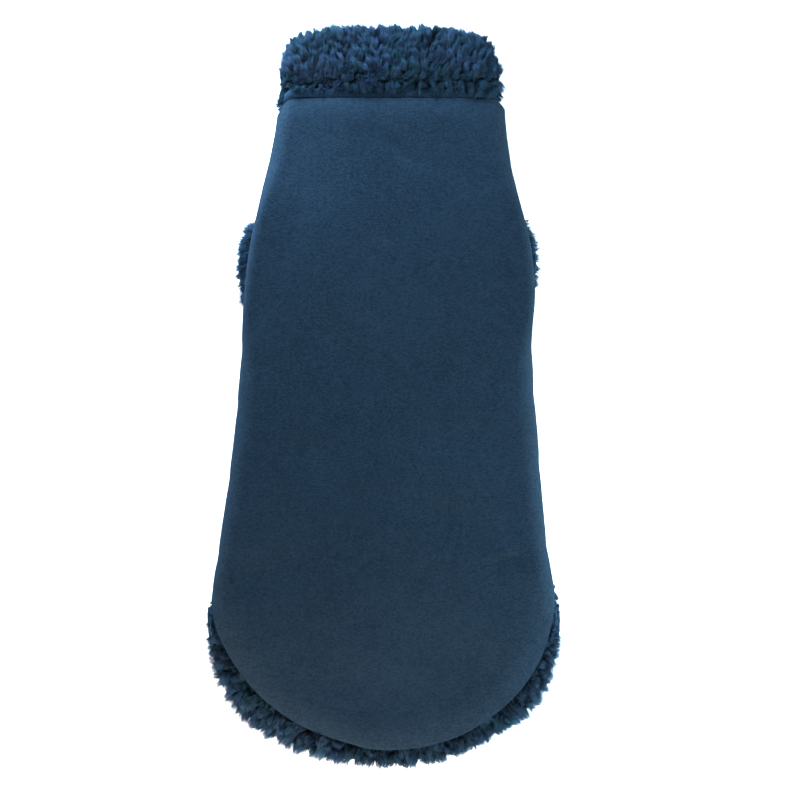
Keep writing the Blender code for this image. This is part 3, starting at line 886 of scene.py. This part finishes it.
def make_back():
    form = back_form()
    middle = form.shape[0] // 2
    along = np.linalg.norm(np.diff(form, axis=0), axis=2)
    around = np.concatenate([np.zeros((1, form.shape[1])), np.cumsum(along, axis=0)])
    around = around - around[middle] + form[middle, :, 0]
    y = form[..., 1]
    depth = crease_depth(BACK_CREASES, around, y) + 0.16 * ripple(around, y, (28, 90), 3)
    half_round = (around[-1] - around[0]) / 2
    from_seam = half_round[None] - np.abs(around - (around[-1] + around[0]) / 2)
    depth = depth + drawn_in(from_seam, y, 0.9, 0.25, 5)
    edge = np.minimum(1, np.minimum(y - y[:, -1:], y[:, :1] - y) / 6)
    form = form - grid_normals(form) * (depth * (0.25 + 0.75 * edge))[..., None]
    form[..., 2] = np.maximum(form[..., 2], 0)
    return wall_of_fleece(laid("back", form, FLEECE_BLUE))


def make_belly():
    across, along = spaced(BELLY_LINES, 0.3), np.linspace(NECK_Y, BELLY_HEM_Y, BELLY_STEPS)
    y = np.tile(along, (len(across), 1))
    left, right = belly_seam(-1, y), belly_seam(1, y)
    x = mix(left, right, across[:, None])
    from_seam = np.minimum(x - left, right - x)
    rise = crease_depth(BELLY_CREASES, x, y) + 0.15 * ripple(x, y, (24, 70), 8)
    rise = np.maximum(rise, 0) * smoothstep(from_seam / 12)
    rise = rise * smoothstep((y - BELLY_HEM_Y) / 12)
    rise = rise + drawn_in(from_seam, y, 0.8, 0.2, 9)
    form = stacked(x, y, belly_lift(x, y) + rise)[::-1]
    return wall_of_fleece(laid("belly", form, FLEECE_BLUE))


TRIM_GROUND = 0.78  # the share of the trim's width that its ground has
TRIM_TOP = HEM[0].y + 4


def ground_depth(deeper, curls, x, y, seed):
    """How far the pile's ground lies inside its solid."""
    return 0.2 + deeper + np.maximum(curls * ripple(x, y, (4, 9), seed), 0)


def back_ground(points, normals):
    """The pile's ground in the back, whose trim is drawn in and lies lower than its locks."""
    x, y, _ = points.T
    distance, near_x, near_y = hem_nearest(x, y)
    past = (y < TRIM_TOP) & ((y < hem_y(x)) | (x < HEM[0].x) | (x > HEM[-1].x))
    near = np.where(past, 1, 1 - smoothstep((distance - 2) / 5))
    near = near * smoothstep((-98 - y) / 8)
    depth = ground_depth(1.9 * near, 0.5, x, y, 12)
    depth = np.where(past, depth * np.abs(normals[:, 2]), depth)
    x, y, z = (points - normals * depth[:, None]).T
    kept = np.where(past, TRIM_GROUND, 1)
    return stacked(mix(near_x, x, kept), mix(near_y, y, kept), np.maximum(z, 0.1))


def belly_ground(points, normals):
    x, y, _ = points.T
    depth = ground_depth(1.8 * smoothstep((-106 - y) / 4), 0.4, x, y, 13)
    return points - normals * depth[:, None]


def around_ring(share, left, right, low, high):
    """(x, z) and outward (x, z) along a flattened ring with round ends, from its lower left."""
    radius = (high - low) / 2
    run = np.maximum(right - left - 2 * radius, 1e-6)
    turn = np.pi * radius
    s = share * 2 * (run + turn)
    stretch = [s < run, s < run + turn, s < 2 * run + turn]
    angles = [0 * s, (s - run) / radius, np.pi + 0 * s]
    angle = np.select(stretch, angles, np.pi + (s - 2 * run - turn) / radius)
    ends = [left + radius + s, right - radius + 0 * s, right - radius - (s - run - turn)]
    centre = np.select(stretch, ends, left + radius + 0 * s)
    out_x, out_z = np.sin(angle), -np.cos(angle)
    return centre + radius * out_x, low + radius + radius * out_z, out_x, out_z


def ring_grid(count, left, right, low, high):
    sides = (value[:, None] for value in np.broadcast_arrays(left, right, low, high))
    return around_ring(np.linspace(0, 1, count + 1)[None], *sides)


def neck_form(rings, profile, sag=0, straighten=0, inset=0):
    """A flattened tube at the neck, points[place][loop], from (along, depth) down its wall."""
    length = rings[-1].y - rings[0].y
    along, depth = np.array(profile).T
    y = rings[0].y + along
    left, right, low, high = (read(rings, column, y) for column in RING_SIDES)
    low = np.maximum(low, 0)
    inset = inset + depth * ((high - low - SLIT) / 2 - 2 * inset)
    x, z, _, _ = ring_grid(NECK_STEPS, left + inset, right - inset, low + inset, high - inset)
    across = (x - mix(left, right, 0.5)[:, None]) / (right - left)[:, None] * 2
    fall = neck_fall(x) * (1 - straighten * along / length)[:, None] ** 2
    y = y[:, None] - fall - (sag * along / length)[:, None] * across**2
    return stacked(x, y, z)


def wall_profile(length, lip, outer_steps, lip_steps, inner_steps):
    """(along, depth) down a tube's wall and back: its outer face, its lip, its inner face."""
    profile = [(mix(0, length - lip, n / outer_steps), 0) for n in range(outer_steps)]
    for n in range(lip_steps + 1):
        turn = math.pi * n / lip_steps
        profile.append((length - lip + lip * math.sin(turn), (1 - math.cos(turn)) / 2))
    profile += [(mix(length - lip, 0, n / inner_steps), 1) for n in range(1, inner_steps + 1)]
    return [*profile, profile[0]]


COLLAR_GROUND = 3.9  # the pile's ground, in from the collar's solid
COLLAR_TOP_GROUND = 8.8  # the same at its top


def make_collar():
    length, lip = COLLAR_LENGTH - COLLAR_TOP_GROUND, COLLAR_LIP - COLLAR_GROUND
    profile = wall_profile(length, lip, 12, 10, 8)
    form = neck_form(COLLAR, profile, COLLAR_SAG, straighten=1, inset=COLLAR_GROUND)
    return tube("collar_cloth", form, GROUND_BLUE)


def make_band():
    low, top = -0.2, BAND_LENGTH
    profile = [(low, 0), (top * 0.5, -0.03), (top, 0), (top, 1), (low, 1), (low, 0)]
    form = neck_form(BAND, profile)
    form[..., 2] += 0.12 * ripple(form[..., 0], form[..., 1], (12, 30), 21)
    return tube("neck_strip", form, BAND_BLUE)


def arm_end(arm, y, back):
    return arm.tip - arm.side * (back + (y - arm.y) ** 2 / (2 * ARM_TIP_RADIUS))


def arm_form(arm, depths, x_at, inset=0):
    """A flattened sleeve tube, points[loop][place]."""
    depths = np.asarray(depths, float)
    inset = inset + depths * (ARM_WALL - 2 * inset)
    half = ARM_HALF_WIDTH - inset
    across, z, _, _ = ring_grid(ARM_STEPS, -half, half, inset, ARM_HEIGHT - inset)
    y = arm.y + across
    return stacked(x_at(y, z), y, z)


def make_sleeve(side):
    arm = ARMS[side]
    places = 9  # along each face of its wall
    shares = np.array([*np.linspace(0, 1, places), *np.linspace(1, 0, places), 0])
    depths = np.array([0] * places + [1] * places + [0])

    def x_at(y, z):
        low = belly_seam(arm.side, y) + arm.side * SEAM_GAP
        start = mix(low, back_seam(arm.side, y), z / ARM_HEIGHT)
        return mix(start, arm_end(arm, y, CUFF_LENGTH + SEAM_GAP), shares[:, None])

    form = arm_form(arm, depths, x_at)
    gather = 0.35 * (1 - shares[:, None]) * (1 - depths[:, None])
    gather = gather * ripple(form[..., 1], form[..., 2], (5, 11), 31)
    form[..., 2] = np.clip(form[..., 2] * (1 - 0.04 * np.abs(gather)), 0, None)
    return tube(f"sleeve_cloth_{side}", form, FLEECE_BLUE)


CUFF_GROUND = 1.7  # the pile's ground, in from the cuff's solid


def make_cuff(side):
    arm = ARMS[side]
    lip = ARM_WALL / 2 - CUFF_GROUND / 2
    along, depths = np.array(wall_profile(CUFF_LENGTH - CUFF_GROUND, lip, 6, 6, 5)).T

    def x_at(y, z):
        return arm_end(arm, y, CUFF_LENGTH - along[:, None])

    form = arm_form(arm, depths, x_at, inset=CUFF_GROUND * 0.8)
    return tube(f"cuff_cloth_{side}", form, GROUND_BLUE)


# ---- pile pieces


def collar_locks():
    """Locks on the collar, lying towards its top, fanning out at its sides and hanging low down."""
    seed, girth, mouth, spacing = 20, 262, 6, 2.8
    ground = COLLAR_LENGTH - COLLAR_TOP_GROUND
    places = scatter(girth, ground + mouth, spacing, seed)
    rng = seeded(seed + 1)
    u, v = places.T
    along, past = np.minimum(v, ground), np.maximum(v - ground, 0) / mouth
    y = COLLAR[0].y + along
    left, right, low, high = (read(COLLAR, column, y) for column in RING_SIDES)
    inset = COLLAR_GROUND + 0.4 + past * 3
    ring = left + inset, right - inset, np.maximum(low, 0) + inset, high - inset
    x, z, out_x, out_z = around_ring(u / girth, *ring)
    out, up = stacked(out_x, 0 * x, out_z), np.array((0, 1, 0))
    share = along / COLLAR_LENGTH
    across = (x - mix(left, right, 0.5)) / (right - left) * 2
    y = y - neck_fall(x) * (1 - share) ** 2 - COLLAR_SAG * share * across**2
    y = y - 6 * share**2 * smoothstep((np.abs(across) - 0.5) / 0.5)
    low_down = smoothstep((6 - along + rng.uniform(-2.5, 2.5, len(u))) / 3)
    hang = low_down * smoothstep((x + 22) / 12) * (out_z > 0)
    rise = mix(mix(2, 3.2, smoothstep(share * 1.4)) + past, -1.8, hang)
    moved, tone = leaned(places, 8.5, seed + 2, (np.cross(up, out), up), lean=0.5, loose=0.2)
    # Painted shade: the collar's locks are darker towards its top and its left, where the lamp from
    # the upper left lights them most
    low_painted_shade, high_painted_shade = -0.2 + 0.15 * across, -1.05 + 0.45 * across
    tone = 0.8 * tone + mix(low_painted_shade, high_painted_shade, smoothstep(share * 1.6))
    aim = out * (1 - 0.7 * past)[:, None] + up * rise[:, None] + moved
    aim[:, 0] += 0.34 * across * np.abs(out_z)
    size = rng.uniform(6, 8.8, len(u)) * mix(0.75, 1, smoothstep(along / 8))
    size = size * (1 + 0.2 * hang)
    radius = rng.uniform(1.7, 3, len(u))
    root = stacked(x, y, z)
    shown, right_half = out_z >= -0.35, x >= 4
    parts = [("under", ~shown, 10), ("left", shown & ~right_half, 92)]
    parts += [("right", shown & right_half, 92)]
    piles = []
    for k, (part, own, strands) in enumerate(parts):
        sizes = size[own], radius[own], tone[own], strands
        piles.append(locks(f"collar_pile_{part}", root[own], aim[own], *sizes, seed + 5 + k))
    return piles


# Rows of locks in the collar's lower layer
LOW_LOCKS = table_of(
    "start end aim size radius count",
    ((57.6, 175, 6), (59.8, 164.6, 12), (1, -0.1, 0.1), 5.2, 1.9, 18),
    ((-51, 165.5, 3.5), (-52, 157.4, 7.5), (-0.7, -0.6, 0), 4, 1.6, 15),
    ((-52.4, 164, 8), (-52.6, 156.2, 10), (-0.8, -0.7, 0.25), 4, 1.5, 14),
    ((-50.4, 170, 9), (-51.2, 158.6, 11), (-0.6, -0.7, 0.2), 4.6, 1.8, 18),
    ((60.2, 169, 9), (60.8, 161.4, 11), (0.7, -0.6, 0.2), 4.6, 1.8, 14),
    ((-14, 167.6, 15.8), (58, 166.2, 15.2), (0, -1, 0.35), 7.2, 2, 34),
    ((-24, 169.6, 16.6), (60, 169.2, 15.6), (0.15, -0.8, 0.75), 6.6, 2.1, 34),
    ((-16, 172.6, 18.2), (60, 172, 16.4), (0.1, -0.1, 1), 6.4, 2.2, 26),
    ((-20, 175.8, 18.4), (58, 175.2, 17), (-0.1, 0.4, 1), 6.6, 2.2, 22),
    ((-49, 167, 14.6), (-12, 167.4, 15.6), (0, -0.5, 1), 5.4, 1.9, 26),
)


def low_locks():
    """Locks of the collar's lower layer, which show past both ends of its top one."""
    rng = seeded(90)
    rows = [row for row in LOW_LOCKS for _ in range(row.count)]
    share = np.concatenate([np.linspace(0, 1, row.count) for row in LOW_LOCKS])[:, None]

    def each(column):
        return np.array([getattr(row, column) for row in rows])

    start, end, aim = each("start"), each("end"), each("aim")
    root = mix(start, end, share) + rng.normal(scale=(0.9, 0.9, 0.8), size=start.shape)
    size = each("size") * rng.uniform(0.68, 1.12, len(rows))
    radius = each("radius") * rng.uniform(0.68, 1.12, len(rows))
    aim = aim + rng.normal(scale=0.3, size=aim.shape)
    # Painted shade: the lower layer's locks are all darker, for the shade under the collar's top
    # layer
    tone = rng.uniform(-1.5, -0.2, len(rows))
    return locks("collar_pile_low", root, aim, size, radius, tone, 41, 91)


def hem_locks():
    """Locks on the lining where it shows past the hem, pointing straight out from it."""
    seed, inside = 41, 3
    steps = np.linalg.norm(np.diff(HEM_LINE[:, :2], axis=0), axis=1)
    walked = np.concatenate([[0], np.cumsum(steps)])

    def here(u, column):
        return np.interp(u, walked, HEM_LINE[:, column])

    def shown(u, v):
        return float(v < here(u, 2) + 1.2 and 6.5 < u < walked[-1] - 2)

    places = scatter(walked[-1], 17, 2.35, seed, keep=shown)
    rng = seeded(seed + 1)
    u, v = places.T
    x, y, reach = (here(u, column) for column in range(3))
    dx, dy = (here(u + 1, column) - here(u - 1, column) for column in (0, 1))
    ahead = unit(stacked(dx, dy, 0 * u))
    out = stacked(ahead[:, 1], -ahead[:, 0], 0 * u)
    size = np.clip(reach * 0.68, 2, 8.2) * rng.uniform(0.8, 1.15, len(u))
    top = back_height(x, y) - FLEECE - SEAM_GAP
    share = np.clip((v - inside) / np.maximum(reach, 1), 0, 0.96)
    z = (top - 1.4) * np.sqrt(1 - share**3) * rng.uniform(0.5, 1, len(u))
    past = np.minimum(v - inside, reach - 0.7 * size)
    root = stacked(x, y, np.maximum(z, 0.6)) + out * past[:, None]
    moved, tone = leaned(places, 7.5, seed + 2, (ahead, out), lean=0.15, loose=0.08)
    rise = mix(0.5, 0.12, smoothstep(share))
    aim = out + np.array((0, 0, 1)) * rise[:, None] + moved
    radius = np.minimum(rng.uniform(1.5, 2.4, len(u)), 0.4 * size)
    # Painted shade next to the hem's edge, where the fleece shades the trim, and painted light out
    # towards the trim's tips
    tone = tone + mix(-1.1, 2.7, share)
    return locks("hem_pile", root, aim, size, radius, tone, 46, seed + 3, opened=(1, 1.3))


def trim_end_locks():
    """Locks over both ends of the trim, shorter where the lining goes in under the side folds."""
    rng = seeded(95)
    places, aims, ups = [], [], []
    for x, y, sign in ((HEM[0].x, HEM[0].y - 8, -1), (HEM[-1].x, HEM[-1].y - 1, 1)):
        count = 36
        up = rng.uniform(-0.8, 1, count)
        z = 4.4 + rng.uniform(-3.6, 3.6, count) * (1 - 0.6 * np.maximum(up, 0))
        places.append(stacked(x - sign * rng.uniform(0.6, 2.4, count), y + 6.5 * up, z))
        aims.append(np.array((sign * 0.75, -0.45, 0.05)) + rng.normal(scale=0.3, size=(count, 3)))
        ups.append(up)
    root, aim, up = (np.concatenate(part) for part in (places, aims, ups))
    small = 1 - 0.5 * np.maximum(up, 0)
    size = rng.uniform(2.6, 3.6, len(root)) * small
    radius = rng.uniform(1, 1.5, len(root)) * small
    tone = rng.uniform(-0.8, 0.4, len(root))
    return locks("trim_end_pile", root, aim, size, radius, tone, 30, 96)


def cuff_locks(side):
    """Locks on a cuff, which point away from the body."""
    arm = ARMS[side]
    # Painted shade: the left cuff's locks are darker, where the lamp from the upper left lights
    # that cuff most
    seed, cuff_painted_shade = (60, -0.5) if side == "left" else (70, 0)
    girth, mouth, ground, spacing = 100, 3, CUFF_LENGTH - 5.4, 2.4
    places = scatter(girth, ground + mouth, spacing, seed)
    rng = seeded(seed + 1)
    u, v = places.T
    along, past = np.minimum(v, ground), np.maximum(v - ground, 0) / mouth
    inset = CUFF_GROUND + 1.2 + past * 1.2
    half = ARM_HALF_WIDTH - inset - 1.6
    across, z, out_y, out_z = around_ring(u / girth, -half, half, inset, ARM_HEIGHT - inset)
    y = arm.y + across
    root = stacked(arm_end(arm, y, CUFF_LENGTH - along), y, z)
    out, away = stacked(0 * u, out_y, out_z), np.array((arm.side, 0, 0))
    moved, tone = leaned(places, 7, seed + 2, (np.cross(away, out), away), lean=0.36)
    aim = out * (0.34 - 0.26 * past)[:, None] + away * (1 + past[:, None]) + moved
    aim[:, 1] += 0.3 * across / half - 0.35
    lower = np.clip(-across / half, 0, 1)
    size = rng.uniform(4.2, 6, len(u)) * (1 + 0.5 * lower**2) + 1.2
    radius = rng.uniform(1.3, 2.1, len(u))
    return locks(f"cuff_pile_{side}", root, aim, size, radius, tone + cuff_painted_shade, 40, seed + 3)


def belly_hem_locks():
    """Short locks at the belly's hem, lying back along the body."""
    seed, margin = 80, 2
    left, right = (float(belly_seam(side, BELLY_HEM_Y)) - side * margin for side in (-1, 1))
    places = scatter(right - left, 8, 2.7, seed)
    rng = seeded(seed + 1)
    u, v = places.T
    root = stacked(left + u, BELLY_HEM_Y + 1 - v * 0.7, rng.uniform(3.2, 7.4, len(u)))
    moved, tone = leaned(places, 7, seed + 2, np.eye(3)[:2], lean=0.3)
    aim = np.array((0, -1, -0.1)) + moved
    size = np.minimum(rng.uniform(3.5, 5, len(u)), 9 - v * 0.75)
    radius = rng.uniform(0.9, 1.4, len(u))
    return locks("belly_hem_pile", root, aim, size, radius, tone, 16, seed + 3)


# ---- the jumper

back = make_back()
belly = make_belly()
lining_back = from_solid("lining_back", "back_lining", GROUND_BLUE, 2, back_ground)
lining_belly = from_solid("lining_belly", "belly_lining", GROUND_BLUE, 3, belly_ground)
collar = make_collar()
band = make_band()
sleeves = {side: make_sleeve(side) for side in ARMS}
cuffs = {side: make_cuff(side) for side in ARMS}

collar_piles = [*collar_locks(), low_locks()]
hem_piles = [hem_locks(), trim_end_locks()]
belly_hem_pile = belly_hem_locks()
cuff_piles = {side: cuff_locks(side) for side in ARMS}

fleece_pieces = [(back, "back_panel"), (belly, "belly_panel")]
fleece_pieces += [(sleeves[side], f"sleeve_{side}") for side in ARMS]
pile_pieces = [(lining_back, "back_lining"), (lining_belly, "belly_lining"), (collar, "collar")]
pile_pieces += [(cuffs[side], f"cuff_{side}") for side in ARMS]
for piece, node in [*fleece_pieces, *pile_pieces, (band, "neck_band")]:
    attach(piece, "root")
    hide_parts(node)
for piece in (*collar_piles, *hem_piles, belly_hem_pile, *cuff_piles.values()):
    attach(piece, "root")

# ---- studio

VIEW_CENTRE = (0.0087, -0.0030)
VIEW_WIDTH = 0.432
LENS = 200
SENSOR = 36

select_only()
bpy.ops.mesh.primitive_plane_add(size=8, location=(0, 0, -0.0002))
floor = bpy.context.object
floor.name = "floor"
PALE = (0.93, 0.93, 0.93, 1)
plain = material("floor_pale", lambda tree, where, colour: {"Base_Color": colour}, [PALE], 0.9, 0.1)
floor.data.materials.append(plain)

world = bpy.data.worlds.new("studio")
world.use_nodes = True
background = world.node_tree.nodes["Background"]
feed(world.node_tree, background, Color=(0.95, 0.98, 1, 1), Strength=0.8)
bpy.context.scene.world = world

# Round area lights that face the jumper
LIGHT_SIZE = 0.35
LIGHTS = table_of(
    "name place power colour",
    ("window", (-0.18, 0.38, 0.15), 16.4, (0.55, 0.78, 1)),
    ("side_right", (0.4, -0.12, 0.16), 10, (0.68, 0.88, 1)),
    ("hem_side", (-0.16, -0.43, 0.085), 8, (1, 0.88, 0.8)),
)
for name, place, power, colour in LIGHTS:
    light = bpy.data.lights.new(name, "AREA")
    light.shape, light.size, light.energy, light.color = "DISK", LIGHT_SIZE, power, colour
    lamp = in_scene(name, light)
    lamp.location = place
    lamp.visible_camera = False
    lamp.rotation_euler = (-Vector(place)).to_track_quat("-Z", "Y").to_euler()

lens = bpy.data.cameras.new("camera")
lens.lens, lens.sensor_width = LENS, SENSOR
lens.clip_start, lens.clip_end = 0.05, 20
camera = in_scene("camera", lens)
camera.location = (*VIEW_CENTRE, VIEW_WIDTH * LENS / SENSOR)
bpy.context.scene.camera = camera
bpy.context.scene.view_settings.view_transform = "Standard"
